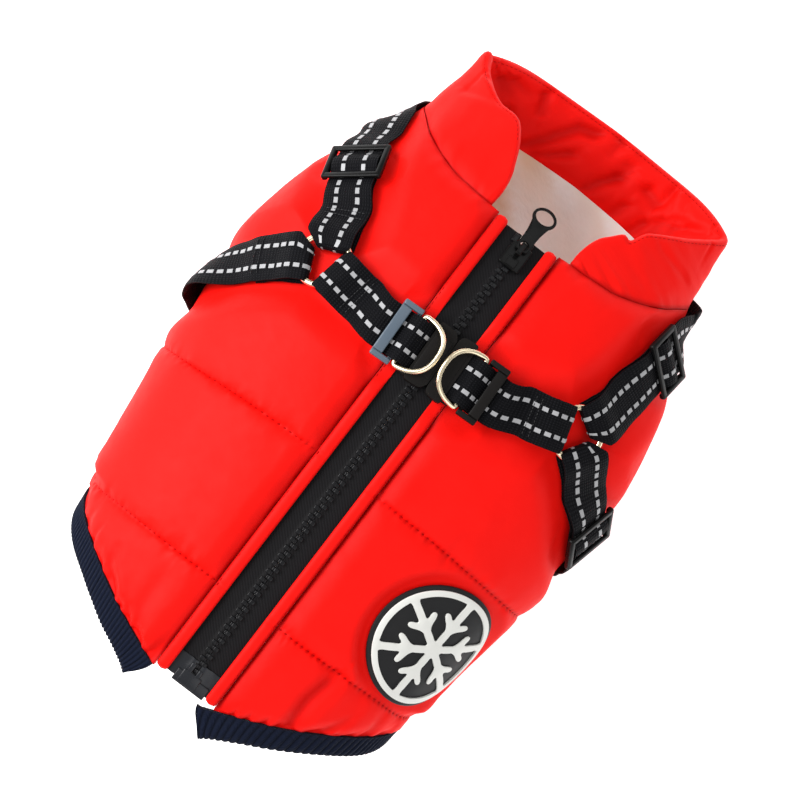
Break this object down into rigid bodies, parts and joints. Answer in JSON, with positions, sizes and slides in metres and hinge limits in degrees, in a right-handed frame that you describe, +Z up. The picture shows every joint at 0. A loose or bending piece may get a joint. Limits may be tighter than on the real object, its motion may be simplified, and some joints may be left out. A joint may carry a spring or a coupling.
{
  "type": "dog jacket",
  "caption": "Quilted red dog vest with stand collar, back zip, knit hem band and a black webbing harness with side-release buckle and leash rings.",
  "frame": {"origin": "middle of the bounding box on the plane that the belly rests on", "axes": "+Y along the back towards the neck, +X across it to the side with the badge, +Z up from belly to back"},
  "size_m": [0.1932, 0.292, 0.0949],
  "materials": {
    "red_nylon": "smooth quilted nylon, soft sheen",
    "navy_rib": "ribbed knit, matt",
    "cream_fleece": "short fleece pile, matt",
    "black_tape": "woven zip tape with moulded teeth, matt",
    "black_webbing": "woven webbing with two rows of grey reflective dashes",
    "black_plastic": "moulded, satin",
    "pale_metal": "polished pale metal",
    "black_rubber": "moulded, matt",
    "white_rubber": "moulded, satin"
  },
  "bodies": {
    "vest": {"back_left": "red_nylon", "back_right": "red_nylon", "belly": "red_nylon", "collar": "red_nylon", "placket_left": "red_nylon", "placket_right": "red_nylon", "zip_slider": "black_plastic", "hem_rib": "navy_rib", "armhole_rib_left": "navy_rib", "armhole_rib_right": "navy_rib", "neck_strap": "black_webbing", "girth_strap": "black_webbing", "cross_strap_left": "black_webbing", "cross_strap_right": "black_webbing", "glide_neck_left": "black_plastic", "glide_neck_right": "black_plastic", "glide_girth_right": "black_plastic", "slide_left": "black_plastic", "slide_right": "black_plastic", "buckle_plug": "black_plastic", "buckle_socket": "black_plastic", "badge": "black_rubber", "lining": "cream_fleece", "zip_tape": "black_tape", "badge_relief": "white_rubber"},
    "zip_pull": {"zip_pull": "black_plastic"},
    "d_ring_left": {"d_ring_left": "pale_metal"},
    "d_ring_right": {"d_ring_right": "pale_metal"},
    "o_ring_left": {"o_ring_left": "pale_metal"},
    "o_ring_right": {"o_ring_right": "pale_metal"}
  },
  "joints": [
    {"name": "zip_pull_hinge", "type": "hinge", "parent": "vest", "child": "zip_pull", "pos_m": [-0.00143, 0.08125, 0.07452], "axis": [1, 0, 0], "range_deg": [0, 175]},
    {"name": "d_ring_left_hinge", "type": "hinge", "parent": "vest", "child": "d_ring_left", "pos_m": [-0.01464, 0.02629, 0.08919], "axis": [0.0371, -0.9936, 0.1067], "range_deg": [0, 90]},
    {"name": "d_ring_right_hinge", "type": "hinge", "parent": "vest", "child": "d_ring_right", "pos_m": [0.01474, 0.02733, 0.08865], "axis": [-0.0371, 0.9936, -0.1067], "range_deg": [0, 90]},
    {"name": "o_ring_left_spin", "type": "hinge", "parent": "vest", "child": "o_ring_left", "pos_m": [-0.06083, 0.03089, 0.07587], "axis": [-0.4052, 0.1322, 0.9046], "continuous": true},
    {"name": "o_ring_right_spin", "type": "hinge", "parent": "vest", "child": "o_ring_right", "pos_m": [0.06027, 0.03716, 0.07286], "axis": [0.4534, 0.1492, 0.8787], "continuous": true}
  ]
}
